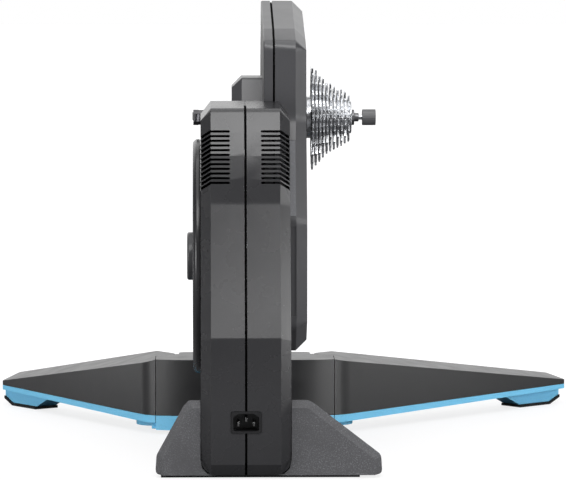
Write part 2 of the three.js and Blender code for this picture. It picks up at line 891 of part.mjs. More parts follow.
// Flywheel on its shaft, which turns in two bearings inside the main plate's hub
const flywheelBeside = 2; // between the flywheel and the shell's wall
const flywheelWide = 30;
const flywheelLeft = towerLeft + towerWall + flywheelBeside;
const flywheelRight = flywheelLeft + flywheelWide;
const flywheelSides = 28;
const flywheelRim = 24;
const flywheelDish = 7;
const flywheelHub = 26;
const shaftRadius = 6;
const shaftBore = shaftRadius + fit;
const bearingWidth = 9;
const shaftEnd = 3;
add(
  "flywheel",
  cut(
    turned(
      [
        [flywheelHub, flywheelLeft],
        [flywheelHub, flywheelLeft + flywheelDish],
        [flywheelRadius - flywheelRim, flywheelLeft + flywheelDish],
        [flywheelRadius - flywheelRim, flywheelLeft],
        [flywheelRadius, flywheelLeft],
        [flywheelRadius, flywheelRight],
      ],
      ...atFlywheel,
      flywheelSides,
    ),
    rod(shaftBore, flywheelLeft - overrun, flywheelRight + overrun, ...atFlywheel, boreSides),
  ),
  darkSteel,
);
add(
  "flywheel_shaft",
  join(
    rod(shaftRadius, flywheelLeft - shaftEnd, pulleyRight + shaftEnd, ...atFlywheel, boreSides),
    rod(smallPulley, beltLeft, beltRight, ...atFlywheel),
  ),
  steel,
);
const shaftBearings = {
  flywheel_bearing_outer: [plateHubLeft, plateHubLeft + bearingWidth],
  flywheel_bearing_inner: [plateRight - bearingWidth, plateRight],
};
for (const [name, [x0, x1]] of Object.entries(shaftBearings))
  add(name, bearing(x0, x1, bearingRadius, shaftBore, atFlywheel), steel);

// Magnetic brake: six wound poles, potted together on a curved core beside the flywheel
const coreLeft = -38;
const corePlay = 1;
const coreRight = beltCaseLeft - corePlay;
const coreDeep = 44;
const coreInside = 1; // how far the core's rim lies inside the flywheel's
const poleInside = 19;
const poleRadius = 9;
const poleGap = 1.5;
const coilBehindPole = 3.5;
const coilRadius = 14;
const poleCount = 6;
const coreOuter = flywheelRadius - coreInside;
const coreInner = coreOuter - coreDeep;
const poleCircle = flywheelRadius - poleInside;
const poleEnd = flywheelRight + poleGap;
const coilEnd = poleEnd + coilBehindPole;
const brakeFrom = Math.PI * 0.66;
const brakeSweep = Math.PI * 0.72;
const armHalf = 12;
const poles = Array.from({ length: poleCount }, (_, i) => {
  const angle = brakeFrom + (brakeSweep * (i + 0.5)) / poleCount;
  return [flywheelY + poleCircle * Math.cos(angle), flywheelZ + poleCircle * Math.sin(angle)];
});
add(
  "brake_core",
  cut(
    join(
      slabX(
        [
          ...circle(coreOuter, ...atFlywheel, 12, brakeFrom, brakeSweep),
          ...circle(coreInner, ...atFlywheel, 8, brakeFrom + brakeSweep, -brakeSweep),
        ],
        coreLeft,
        coreRight,
      ),
      box(
        coreLeft,
        coreRight,
        flywheelY - coreInner - overrun,
        flywheelY,
        flywheelZ - armHalf,
        flywheelZ + armHalf,
      ),
      rod(hubTube + armHalf / 2, coreLeft, coreRight, ...atFlywheel),
      ...poles.map(([y, z]) => rod(poleRadius, poleEnd, coilEnd, y, z, 6)),
      ...poles.map(([y, z]) => rod(coilRadius, coilEnd - fit, coreLeft + fit, y, z, 8)),
    ),
    rod(hubTube + fit, coreLeft - overrun, coreRight + overrun, ...atFlywheel),
  ),
  steel,
);
// Free-running hub with eleven sprockets: the teeth follow the chain's pitch and roller
const chainPitch = 12.7;
const rollerRadius = 3.95;
const freehubBore = 13.3;
const flangeRadius = 21.5;
const flangeLeft = 15.5;
const toothCounts = [25, 23, 21, 19, 17, 16, 15, 14, 13, 12, 11];
const firstSprocket = 21.6;
const sprocketPitch = 3.75;
const sprocketThick = 1.8;
const spacerRadius = 18.1;
const spacerLength = sprocketPitch - sprocketThick - fit;
const flangeRight = firstSprocket - sprocketThick / 2 - fit;
const lastSprocket = firstSprocket + (toothCounts.length - 1) * sprocketPitch;
const lockFace = lastSprocket + sprocketThick / 2 + fit;
const freehubEnd = lockFace - fit;
const supportRadius = freehubBore - fit;
const lockStub = 2.3;
const lockFlange = 1.7;
const lockBore = 8.6;
add(
  "freehub_body",
  cut(
    join(
      rod(freehubRadius, pulleyRight + fit, freehubEnd, ...atAxle, freehubSides),
      rod(flangeRadius, flangeLeft, flangeRight, ...atAxle, pulleySides),
    ),
    rod(freehubBore, 0, freehubEnd + overrun, ...atAxle),
  ),
  steel,
);
add(
  "freehub_bearing",
  bearing(flangeLeft, lockFace - lockStub - 2 * fit, supportRadius, plateBore, atAxle),
  steel,
);

// One tooth is [share of a tooth's angle, radius]: half a roller seat, a flat tip and the rest
const seatShare = 0.16;
const tipShare = 0.41;
function sprocketOutline(teeth) {
  const pitchRadius = chainPitch / 2 / Math.sin(Math.PI / teeth);
  const tip = (chainPitch / 2) * (0.6 + 1 / Math.tan(Math.PI / teeth));
  const root = pitchRadius - rollerRadius;
  const tooth = [
    [seatShare, root],
    [tipShare, tip],
    [1 - tipShare, tip],
    [1 - seatShare, root],
  ];
  return Array.from({ length: teeth }, (_, i) =>
    tooth.map(([share, radius]) => {
      const angle = (turn * (i + share)) / teeth;
      return [axleY + radius * Math.cos(angle), axleZ + radius * Math.sin(angle)];
    }),
  ).flat();
}

// Windows between the spider arms of a large sprocket
const windowCount = 4;
const windowShare = 0.66;
const windowTurnShare = 0.1;
const windowInner = 24;
const windowRim = 9;
const windowTeeth = 23;
function sprocketWindows(teeth) {
  if (teeth < windowTeeth) return [];
  const outer = chainPitch / 2 / Math.sin(Math.PI / teeth) - windowRim;
  return Array.from({ length: windowCount }, (_, i) => {
    const from = (turn * (i + windowTurnShare)) / windowCount;
    const sweep = (turn * windowShare) / windowCount;
    return [
      ...circle(outer, ...atAxle, 4, from, sweep),
      ...circle(windowInner, ...atAxle, 3, from + sweep, -sweep),
    ];
  });
}

toothCounts.forEach((teeth, i) => {
  const x0 = firstSprocket - sprocketThick / 2 + i * sprocketPitch;
  const x1 = x0 + sprocketThick;
  const bore = circle(freehubRadius + fit, ...atAxle, freehubSides);
  const plate = slabX(sprocketOutline(teeth), x0, x1, [bore, ...sprocketWindows(teeth)]);
  const ring = circle(spacerRadius, ...atAxle, freehubSides);
  const spacer = slabX(ring, x1 - fit, x1 + spacerLength, [bore]);
  add(`sprocket_${teeth}`, i < toothCounts.length - 1 ? join(plate, spacer) : plate, steel);
});
add(
  "lockring",
  tube(freehubRadius, lockBore, lockFace, lockFace + lockFlange, ...atAxle, boreSides).add(
    tube(
      supportRadius,
      lockBore,
      lockFace - lockStub,
      lockFace + lockFlange / 2,
      ...atAxle,
      boreSides,
    ),
  ),
  steel,
);

// Mains inlet: a socket with three pins
const inletWall = 2;
const inletSink = 0.3;
const inletBack = 5;
const inletLip = 1.2;
const inletFace = creaseY - skirtBulge + inletSink;
const socketBottom = creaseY + inletDepth - inletBack;
const pinHalf = 1;
const pinTall = 2.2;
const pinSpread = 7.6;
const pinRise = 2.2;
const pinTail = 6;
const pinTip = 4;
const pinPlaces = {
  inlet_pin_line: [towerMiddle - pinSpread, inletZ - pinRise],
  inlet_pin_earth: [towerMiddle, inletZ + pinRise],
  inlet_pin_neutral: [towerMiddle + pinSpread, inletZ - pinRise],
};
const pinBlock = ([x, z], grow) => [
  x - pinHalf - grow,
  x + pinHalf + grow,
  inletFace + pinTip,
  creaseY + inletDepth + pinTail,
  z - pinTall - grow,
  z + pinTall + grow,
];
const socket = rounded([
  [towerMiddle + inletHalfWide - inletWall, inletZ - inletHalfHigh + inletWall, inletRound],
  [towerMiddle + inletHalfWide - inletWall, inletZ + inletHalfHigh / 2, inletRound],
  [towerMiddle + inletHalfWide / 2, inletZ + inletHalfHigh - inletWall, inletRound],
  [towerMiddle - inletHalfWide / 2, inletZ + inletHalfHigh - inletWall, inletRound],
  [towerMiddle - inletHalfWide + inletWall, inletZ + inletHalfHigh / 2, inletRound],
  [towerMiddle - inletHalfWide + inletWall, inletZ - inletHalfHigh + inletWall, inletRound],
]);
add(
  "inlet_housing",
  cut(
    slabY(inletOutline(0), inletFace - inletLip, creaseY + inletDepth),
    slabY(socket, inletFace - inletLip - overrun, socketBottom),
    ...Object.values(pinPlaces).map((place) => box(...pinBlock(place, fit))),
  ),
  deepBlack,
);
for (const [name, place] of Object.entries(pinPlaces)) add(name, box(...pinBlock(place, 0)), steel);

// Control board on four posts, on the inner face of the left shell
const boardBehind = 15; // from the flywheel back to the board
const boardWide = 52;
const boardTall = 110;
const boardBelowCrease = 30;
const boardStand = 3;
const boardFront = flywheelY - flywheelRadius - boardBehind;
const boardRear = boardFront - boardWide;
const boardLow = creaseZ - boardBelowCrease;
const boardHigh = boardLow + boardTall;
const boardLeft = towerLeft + towerWall + boardStand;
const boardThick = 1.6;
const boardInset = 5;
const boardPost = 2.5;
const chipTall = 4;
const chipShares = [0.2, 0.45, 0.7];
const boardRight = boardLeft + boardThick;
const chipSize = boardWide / 4;
add(
  "control_board",
  join(
    box(boardLeft, boardRight, boardRear, boardFront, boardLow, boardHigh),
    ...[boardRear + boardInset, boardFront - boardInset].flatMap((y) =>
      [boardLow + boardInset, boardHigh - boardInset].map((z) =>
        rod(boardPost, towerLeft + towerWall + fit, boardLeft + fit, y, z, 8),
      ),
    ),
    ...chipShares.map((share) => {
      const z = boardLow + (boardHigh - boardLow) * share;
      return box(
        boardRight - fit,
        boardRight + chipTall,
        boardRear + chipSize,
        boardRear + 2 * chipSize,
        z,
        z + chipSize,
      );
    }),
  ),
  boardGreen,
);

// Steel rail from the rear foot to the hub
const footWall = 14; // the foot's wall ahead of the tower's heel
const railRear = heelFrontY + footWall;
const hubRear = 21;
add(
  "base_rail",
  cut(
    box(railLeft, railRight, railRear + fit, hubRear - fit, railLow, railHigh),
    box(
      railLeft + railWall,
      railRight - railWall,
      railRear - overrun,
      hubRear + overrun,
      railLow + railWall,
      railHigh - railWall,
    ),
  ),
  darkSteel,
);

// Rear foot: a wide trapezium with sloping shoulders, open at the back for the tower's heel
const footLeft = -137.5;
const footRight = 84;
const footAhead = 10; // from the tower's crease forward to the foot's face
const footLow = 2.6;
const footTop = 75.5;
const footChamfer = 7;
const footDraft = 5;
const footShoulderZ = 22;
const footRise = 5;
const footTopLeft = -104.5;
const footTopRight = 11.5;
const footRound = 8;
const heelGap = 0.4;
const padHigh = 2.6;
const padInset = 5.5;
const footRear = creaseY + footAhead;
const footCorners = [
  [footLeft, footLow, footRise],
  [footRight, footLow, footRise],
  [footRight - footRise / 4, footShoulderZ, footRound],
  [footTopRight + footRise, footTop - footRise / 2, footRound],
  [footTopRight, footTop, footRise],
  [footTopLeft, footTop, footRise],
  [footTopLeft - footRise, footTop - footRise, footRound],
  [footLeft + footRise / 4, footShoulderZ, footRound],
];
// The foot at a distance in from its widest outline, which leaves its underside where it is
const footOutline = (inset) =>
  rounded(
    insetCorners(footCorners, inset).map(([x, z, round], i) => [x, i > 1 ? z : footLow, round]),
  );
const padBox = (grow, high) => [
  footLeft + padInset - grow,
  footRight - padInset * 4 + grow,
  footRear + padInset - grow,
  railRear - padInset + grow,
  -grow,
  high,
];
add(
  "base_foot",
  cut(
    loft(
      [
        { outline: footOutline(footDraft), at: -railRear },
        { outline: footOutline(0), at: -footRear - footChamfer },
        { outline: footOutline(footChamfer), at: -footRear },
      ],
      lengthwise,
    ),
    slabY(heelOutline(heelGap), footRear - overrun, heelFrontY + heelGap),
    box(
      towerLeft + heelRound,
      towerRight - heelRound,
      footRear - overrun,
      heelFrontY + heelGap,
      -overrun,
      heelZ + overrun,
    ),
    box(...padBox(fit, padHigh + fit)),
  ),
  textureGrey,
);
add("base_pad", box(...padBox(0, padHigh).with(4, 0)), rubberBlack);

// Front hub: carries both legs on upright pins
const hingeLeftX = -141;
const hingeRightX = 48;
const hingeAhead = 63;
const hingeY = hubRear + hingeAhead;
const knuckle = 20;
const hubFront = hingeY + knuckle;
const hubTop = 79;
const hubLow = 19.6;
const hubNose = 24;
const socketRadius = knuckle + 2 * fit;
const pinRadius = 6;
const pinHigh = 74;
const pinLow = 4.6;
const lugRadius = 14;
const lugLow = 42;
const lugHigh = 56;
const lugSlot = 24;
const trayLow = 4;
const trayHigh = 19.3;
const trayLug = 21.6;
const quarter = Math.PI / 2;
const hubTurnWide = 40; // how far from each leg the hub's rear face starts to turn away
const hubTurnDeep = 6.3;
const hubTurnShares = [0, 0.25, 0.5, 0.75, 1];
const hubTurn = hubTurnShares.map((share) => [
  hubTurnWide * (1 - share),
  hubRear + hubTurnDeep * share * share,
]);
const hubOutline = [
  ...hubTurn.map(([inward, y]) => [hingeLeftX + inward, y]).reverse(),
  ...hubTurn.map(([inward, y]) => [hingeRightX - inward, y]),
  ...circle(socketRadius, hingeRightX, hingeY, 6, -quarter, -quarter),
  ...rounded([
    [hingeRightX - hubNose, hingeY, fit],
    [hingeRightX - hubNose, hubFront, footRound],
    [hingeLeftX + hubNose, hubFront, footRound],
    [hingeLeftX + hubNose, hingeY, fit],
  ]),
  ...circle(socketRadius, hingeLeftX, hingeY, 6, 0, -quarter),
];
const lugs = [
  [hingeLeftX, 1],
  [hingeRightX, -1],
].map(([x, inward]) => {
  const inner = x + inward * (hubNose + overrun);
  return join(
    upright(lugRadius, lugLow, lugHigh, x, hingeY, boreSides),
    box(
      Math.min(x, inner),
      Math.max(x, inner),
      hubRear + footRound,
      hingeY,
      lugLow,
      lugHigh,
    ).intersect(upright(hubNose + hubNose, lugLow, lugHigh, x, hingeY, boreSides)),
  );
});
const pinHoles = (low, high) =>
  [hingeLeftX, hingeRightX].map((x) => upright(pinRadius + fit, low, high, x, hingeY, boreSides));
add(
  "hub_shell",
  cut(join(slabZ(hubOutline, hubLow, hubTop), ...lugs), ...pinHoles(lugLow - overrun, hubTop)),
  legBlack,
);
add(
  "hub_tray",
  cut(
    join(
      slabZ(hubOutline, trayLow, trayHigh),
      ...[hingeLeftX, hingeRightX].map((x) =>
        upright(trayLug, trayLow, trayHigh, x, hingeY),
      ),
    ),
    ...pinHoles(trayLow - overrun, trayHigh + overrun),
  ),
  trayBlue,
);
for (const [side, x] of Object.entries({ left: hingeLeftX, right: hingeRightX }))
  add(`hinge_pin_${side}`, upright(pinRadius, pinLow, pinHigh, x, hingeY, boreSides), steel);

// Folding legs: outline in [outward from the hinge, forward], height falling towards the tip
const legReach = 317;
const legGap = 0.7;
const legRear = hubRear + hubTurnDeep;
const legCornerOut = 11;
const legCornerIn = 3.4;
const legCornerRound = 40;
const cornerShare = 0.98;
const tipOuterY = 293;
const tipInnerY = 335;
const tipSlant = 18;
const tipRound = 3;
const legTopTip = 27.5;
const legLowTip = 22.8;
const trayLowRoot = 11.5;
const trayLowTip = 17.5;
const footBlockBack = 104;
const footBlockFlat = 72;
const footBlockEnd = 24;
const footBlockHalf = 13;
const footPadHigh = 3;
const footPadRise = 7;
const footPadHalf = 15;
for (const [side, hingeX, sign] of [
  ["left", hingeLeftX, -1],
  ["right", hingeRightX, 1],
]) {
  const tipOut = legReach - sign * hingeX;
  const inner = new THREE.Vector2(tipOut - tipSlant, tipInnerY - hingeY);
  const outer = new THREE.Vector2(tipOut, tipOuterY - hingeY);
  const middle = inner.clone().add(outer).multiplyScalar(0.5);
  const innerAngle = inner.angle() + quarter;
  const arcSweep = 3 * quarter - innerAngle;
  const outline = [
    ...rounded(
      [
        [legGap, legRear],
        [legCornerOut, legRear + legCornerIn, legCornerRound],
        [tipOut, tipOuterY, tipRound],
        [tipOut - tipSlant, tipInnerY, tipRound],
      ],
      5,
      cornerShare,
    ),
    ...circle(knuckle, 0, hingeY, 8, innerAngle, arcSweep),
    [legGap, hingeY - knuckle],
  ].map(([out, y]) => [hingeX + sign * out, y]);
  const legLength = middle.length();
  const across = new THREE.Matrix4()
    .makeTranslation(hingeX, hingeY, 0)
    .multiply(new THREE.Matrix4().makeRotationZ(Math.atan2(middle.y, sign * middle.x)))
    .multiply(lengthwise);
  const outward = new THREE.Matrix4()
    .makeTranslation(hingeX, hingeY, 0)
    .multiply(new THREE.Matrix4().makeScale(sign, sign, 1))
    .multiply(lengthwise);
  const back = -knuckle - overrun;
  const far = tipOut + tipRound;
  const outShare = middle.x / legLength;
  const fall = (root, tip) => (out) => root + ((tip - root) * out) / tipOut;
  const topAt = fall(hubTop, legTopTip);
  const lowAt = fall(hubLow, legLowTip);
  const trayAt = fall(trayLowRoot, trayLowTip);
  const blockTop = (along) => lowAt(along * outShare) - footPadHigh;
  const sideways = [-legReach - knuckle, legReach + knuckle];
  const body = slab(
    [
      [back, hubLow],
      [0, hubLow],
      [far, lowAt(far)],
      [far, topAt(far)],
      [0, hubTop],
      [back, hubTop],
    ],
    ...sideways,
    outward,
  );
  add(
    `${side}_leg_shell`,
    cut(
      slabZ(outline, 0, hubTop + overrun).intersect(body),
      upright(lugSlot, lugLow - fit, lugHigh + fit, hingeX, hingeY),
      upright(pinRadius + fit, 0, pinHigh + fit, hingeX, hingeY, boreSides),
    ),
    legBlack,
  );
  const trayBody = slab(
    [
      [back, trayLowRoot],
      [0, trayLowRoot],
      [far, trayAt(far)],
      [far, lowAt(far) - fit],
      [0, trayHigh],
      [back, trayHigh],
    ],
    ...sideways,
    outward,
  );
  const block = slab(
    [
      [legLength - footBlockBack, blockTop(legLength - footBlockBack)],
      [legLength - footBlockFlat, footPadHigh + fit],
      [legLength - footBlockEnd, footPadHigh + fit],
      [legLength - footBlockEnd / 3, footPadHigh + footPadRise + fit],
      [legLength - footBlockEnd / 3, blockTop(legLength)],
    ],
    -footBlockHalf,
    footBlockHalf,
    across,
  );
  add(
    `${side}_leg_tray`,
    cut(
      join(slabZ(outline, 0, hubTop).intersect(trayBody), block),
      upright(trayLug + 2 * fit, -overrun, hubTop, hingeX, hingeY),
    ),
    trayBlue,
  );
  add(
    `${side}_foot_pad`,
    slab(
      [
        [legLength - footBlockFlat, 0],
        [legLength - footBlockEnd, 0],
        [legLength - footBlockEnd / 3, footPadRise],
        [legLength - footBlockEnd / 3, footPadRise + footPadHigh],
        [legLength - footBlockEnd, footPadHigh],
        [legLength - footBlockFlat, footPadHigh],
      ],
      -footPadHalf,
      footPadHalf,
      across,
    ),
    rubberBlack,
  );
}

export default trainer;
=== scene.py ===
"""Looks of a direct drive bike trainer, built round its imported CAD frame. Metres, +Z up."""
import json
import math

import bpy
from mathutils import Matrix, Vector


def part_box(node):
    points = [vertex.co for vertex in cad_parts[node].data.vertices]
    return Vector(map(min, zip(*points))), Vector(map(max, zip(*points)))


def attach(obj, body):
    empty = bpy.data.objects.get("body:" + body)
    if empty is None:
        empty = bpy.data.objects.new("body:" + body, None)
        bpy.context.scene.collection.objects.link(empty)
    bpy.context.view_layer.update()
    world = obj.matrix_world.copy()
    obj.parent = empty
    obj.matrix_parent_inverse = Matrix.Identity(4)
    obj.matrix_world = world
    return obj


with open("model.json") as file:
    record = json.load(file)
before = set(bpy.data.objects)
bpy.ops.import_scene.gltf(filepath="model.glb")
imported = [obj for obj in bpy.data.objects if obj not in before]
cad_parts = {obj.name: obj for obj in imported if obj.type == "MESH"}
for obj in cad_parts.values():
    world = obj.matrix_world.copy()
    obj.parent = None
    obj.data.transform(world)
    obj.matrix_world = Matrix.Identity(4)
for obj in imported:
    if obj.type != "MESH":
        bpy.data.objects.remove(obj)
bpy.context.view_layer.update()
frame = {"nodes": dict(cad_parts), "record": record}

nodes = frame["nodes"]
scene = bpy.context.scene
scene.view_settings.view_transform = "Standard"
MM = 0.001

# The axle, which the turned finishes are centred on
axle_low, axle_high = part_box("axle_tube")
AXLE_Y = (axle_low[1] + axle_high[1]) / 2
AXLE_Z = (axle_low[2] + axle_high[2]) / 2


# Camera: far behind the trainer on a long lens, a little above it
CAMERA_PLACE = Vector((-0.08851, -4.1638, 0.5233))
CAMERA_YAW = math.radians(1.1242)
CAMERA_PITCH = math.radians(4.3328)
CAMERA_LENS = 252.92
CAMERA_SENSOR = 36
CAMERA_RANGE = (0.1, 60)


def make_camera():
    data = bpy.data.cameras.new("camera")
    data.lens = CAMERA_LENS
    data.sensor_width = CAMERA_SENSOR
    data.clip_start, data.clip_end = CAMERA_RANGE
    camera = bpy.data.objects.new("camera", data)
    camera.location = CAMERA_PLACE
    look = Vector((math.tan(CAMERA_YAW), 1, -math.tan(CAMERA_PITCH)))
    camera.rotation_mode = "QUATERNION"
    camera.rotation_quaternion = look.to_track_quat("-Z", "Y")
    scene.collection.objects.link(camera)
    scene.camera = camera


# Materials. Rubbed edges: how far the normal turns there, and the size of the gaps in the wear
WEAR_TURN = (0.86, 0.99)
WEAR_BREAKS = 0.004
WEAR_SAMPLES = 4


class Shader:
    """A Principled material with short calls for the nodes that feed it."""

    def __init__(self, name, color, roughness, metallic=0.0, specular=0.5):
        self.material = bpy.data.materials.new(name)
        self.material.use_nodes = True
        self.tree = self.material.node_tree
        self.bsdf = self.tree.nodes["Principled BSDF"]
        self.color = color
        self.roughness = roughness
        self.set("Base Color", (*color, 1))
        self.set("Roughness", roughness)
        self.set("Metallic", metallic)
        self.set("Specular IOR Level", specular)
        self.place = self.node("ShaderNodeTexCoord").outputs["Object"]
        self.normal = None

    def set(self, socket, value):
        self.bsdf.inputs[socket].default_value = value

    def node(self, kind, **values):
        node = self.tree.nodes.new(kind)
        for key, value in values.items():
            setattr(node, key, value)
        return node

    def link(self, out, into):
        self.tree.links.new(out, into)

    def stretched(self, scale):
        """The object's coordinates, scaled by an amount along each axis."""
        mapping = self.node("ShaderNodeMapping")
        mapping.inputs["Scale"].default_value = scale
        self.link(self.place, mapping.inputs["Vector"])
        return mapping.outputs["Vector"]

    def noise(self, size, detail=2.0, roughness=0.5, vector=None):
        """Noise whose grains are about that size, in metres."""
        node = self.node("ShaderNodeTexNoise")
        node.inputs["Scale"].default_value = 1 / size
        node.inputs["Detail"].default_value = detail
        node.inputs["Roughness"].default_value = roughness
        self.link(vector or self.place, node.inputs["Vector"])
        return node.outputs["Fac"]

    def ramp(self, fac, low, high, start=0.3, end=0.7):
        """A value from low to high as fac goes from start to end."""
        node = self.node("ShaderNodeMapRange")
        node.inputs["From Min"].default_value = start
        node.inputs["From Max"].default_value = end
        node.inputs["To Min"].default_value = low
        node.inputs["To Max"].default_value = high
        self.link(fac, node.inputs["Value"])
        return node.outputs["Result"]

    def vary_color(self, fac, other, start=0.3, end=0.7):
        """Mixes the base colour towards another as fac goes from start to end."""
        mix = self.node("ShaderNodeMix", data_type="RGBA")
        previous = self.bsdf.inputs["Base Color"]
        if previous.is_linked:
            self.link(previous.links[0].from_socket, mix.inputs["A"])
        else:
            mix.inputs["A"].default_value = (*self.color, 1)
        mix.inputs["B"].default_value = (*other, 1)
        self.link(self.ramp(fac, 0, 1, start, end), mix.inputs["Factor"])
        self.link(mix.outputs["Result"], previous)

    def vary_roughness(self, fac, spread):
        low, high = self.roughness - spread, self.roughness + spread
        self.link(self.ramp(fac, low, high), self.bsdf.inputs["Roughness"])

    def bump(self, fac, depth):
        """Raises the surface by fac times depth, in metres."""
        node = self.node("ShaderNodeBump")
        node.inputs["Strength"].default_value = 1
        node.inputs["Distance"].default_value = depth
        self.link(fac, node.inputs["Height"])
        if self.normal:
            self.link(self.normal, node.inputs["Normal"])
        self.normal = node.outputs["Normal"]
        self.link(self.normal, self.bsdf.inputs["Normal"])

    def edge_wear(self, other, size=0.0012, amount=0.6):
        """Lightens the convex edges, broken up by a noise."""
        bevel = self.node("ShaderNodeBevel", samples=WEAR_SAMPLES)
        bevel.inputs["Radius"].default_value = size
        geometry = self.node("ShaderNodeNewGeometry")
        dot = self.node("ShaderNodeVectorMath", operation="DOT_PRODUCT")
        self.link(bevel.outputs["Normal"], dot.inputs[0])
        self.link(geometry.outputs["Normal"], dot.inputs[1])
        edge = self.ramp(dot.outputs["Value"], 1, 0, *WEAR_TURN)
        broken = self.node("ShaderNodeMath", operation="MULTIPLY")
        self.link(edge, broken.inputs[0])
        self.link(self.ramp(self.noise(WEAR_BREAKS, 3), 0, amount), broken.inputs[1])
        self.vary_color(broken.outputs["Value"], other, 0, 1)

    def turned(self, axis_y, axis_z):
        """Coordinates in which a noise makes rings round an axis along X."""
        move = self.node("ShaderNodeVectorMath", operation="SUBTRACT")
        self.link(self.place, move.inputs[0])
        move.inputs[1].default_value = (0, axis_y, axis_z)
        flat = self.node("ShaderNodeVectorMath", operation="MULTIPLY")
        self.link(move.outputs["Vector"], flat.inputs[0])
        flat.inputs[1].default_value = (0, 1, 1)
        length = self.node("ShaderNodeVectorMath", operation="LENGTH")
        self.link(flat.outputs["Vector"], length.inputs[0])
        apart = self.node("ShaderNodeSeparateXYZ")
        self.link(self.place, apart.inputs["Vector"])
        joined = self.node("ShaderNodeCombineXYZ")
        self.link(length.outputs["Value"], joined.inputs["X"])
        self.link(apart.outputs["X"], joined.inputs["Y"])
        return joined.outputs["Vector"]


def scaled(color, factor):
    """The colour times a factor, with no channel over 1."""
    return tuple(min(c * factor, 1) for c in color)


# Sizes of the grains in each finish, and how far the finest ones stand up, in metres
MOULD_PATCH, MOULD_SHEEN, MOULD_GRAIN = 0.06, 0.03, 0.0007
MOULD_RELIEF = 0.000012
COARSE_PATCH, COARSE_GRAIN, COARSE_FINE = 0.05, 0.0012, 0.0008
COARSE_RELIEF, COARSE_FINE_RELIEF = 0.00016, 0.00006
COAT_PATCH, COAT_SHEEN, COAT_PEEL, COAT_FINE = 0.08, 0.02, 0.0018, 0.0005
COAT_PEEL_RELIEF, COAT_FINE_RELIEF = 0.00004, 0.00001
METAL_STAIN, METAL_SHEEN, METAL_BRUSH, METAL_RING = 0.012, 0.006, 0.0006, 0.00035
METAL_RELIEF = 0.00002
BRUSH_STRETCH = (1, 1, 14)


def moulded(name, color, roughness, lighter=1.07, wear=0.5):
    """Satin moulded plastic: spark-eroded grain, faint mottling and rubbed edges."""
    shader = Shader(name, color, roughness, specular=0.45)
    shader.vary_color(shader.noise(MOULD_PATCH, 4), scaled(color, lighter), 0.35, 0.75)
    shader.vary_color(shader.noise(MOULD_GRAIN * 2, 2), scaled(color, 0.9), 0.5, 0.8)
    shader.vary_roughness(shader.noise(MOULD_SHEEN, 4), 0.02)
    shader.bump(shader.noise(MOULD_GRAIN, 2), MOULD_RELIEF)
    shader.edge_wear(scaled(color, 1.7), amount=wear)
    return shader.material


def coarse(name, color, painted_sparkle, roughness=0.62):
    """Coarse moulding texture, paler on its high spots: a painted sparkle where the grain catches
    the light.
    """
    shader = Shader(name, color, roughness, specular=0.4)
    grain = shader.noise(COARSE_GRAIN, 3, 0.6)
    # Painted sparkle: the grain's high spots take the paler colour, as if they caught the light
    shader.vary_color(grain, painted_sparkle, 0.52, 0.66)
    shader.vary_color(shader.noise(COARSE_PATCH, 3), scaled(color, 0.82), 0.5, 0.8)
    shader.vary_roughness(grain, 0.08)
    shader.bump(grain, COARSE_RELIEF)
    shader.bump(shader.noise(COARSE_FINE, 2), COARSE_FINE_RELIEF)
    return shader.material


def coated(name, color, roughness):
    """Satin powder coat: fine orange peel and rubbed edges."""
    shader = Shader(name, color, roughness, specular=0.7)
    shader.vary_color(shader.noise(COAT_PATCH, 3), scaled(color, 1.25), 0.4, 0.8)
    shader.vary_roughness(shader.noise(COAT_SHEEN, 4), 0.04)
    shader.bump(shader.noise(COAT_PEEL, 2), COAT_PEEL_RELIEF)
    shader.bump(shader.noise(COAT_FINE, 1), COAT_FINE_RELIEF)
    shader.edge_wear(scaled(color, 3), amount=0.35)
    return shader.material


def machined(name, color, roughness, axis=None):
    """Stained metal, with turning rings round an axis (y, z) along X, or else brushed."""
    shader = Shader(name, color, roughness, metallic=1.0)
    shader.vary_color(shader.noise(METAL_STAIN, 4), scaled(color, 0.6), 0.45, 0.8)
    shader.vary_roughness(shader.noise(METAL_SHEEN, 4), 0.07)
    if axis:
        lines = shader.noise(METAL_RING, 1, vector=shader.turned(*axis))
    else:
        lines = shader.noise(METAL_BRUSH, 2, vector=shader.stretched(BRUSH_STRETCH))
    shader.bump(lines, METAL_RELIEF)
    shader.edge_wear(scaled(color, 1.5), size=0.0005, amount=0.5)
    return shader.material


def rubber(name):
    """Dull rubber with dusty patches."""
    shader = Shader(name, (0.012, 0.012, 0.013), 0.8, specular=0.3)
    shader.vary_color(shader.noise(0.01, 4), (0.03, 0.03, 0.032), 0.5, 0.8)
    shader.bump(shader.noise(0.0009, 3), 0.00008)
    return shader.material


def sealing(name):
    """Matt black foam that hardly reflects. Its near black also paints the shade behind the
    cooling slots.
    """
    shader = Shader(name, (0.002, 0.002, 0.002), 0.9, specular=0.05)
    shader.vary_color(shader.noise(0.01, 3), (0.004, 0.004, 0.004), 0.5, 0.8)
    shader.bump(shader.noise(0.0008, 2), 0.00005)
    return shader.material


def circuit(name):
    """Solder mask with pale pads."""
    shader = Shader(name, (0.012, 0.09, 0.035), 0.35)
    shader.vary_color(shader.noise(0.003, 1), (0.02, 0.16, 0.06), 0.48, 0.52)
    shader.vary_color(shader.noise(0.0045, 0), (0.55, 0.55, 0.5), 0.7, 0.72)
    shader.bump(shader.noise(0.003, 1), 0.00005)
    return shader.material


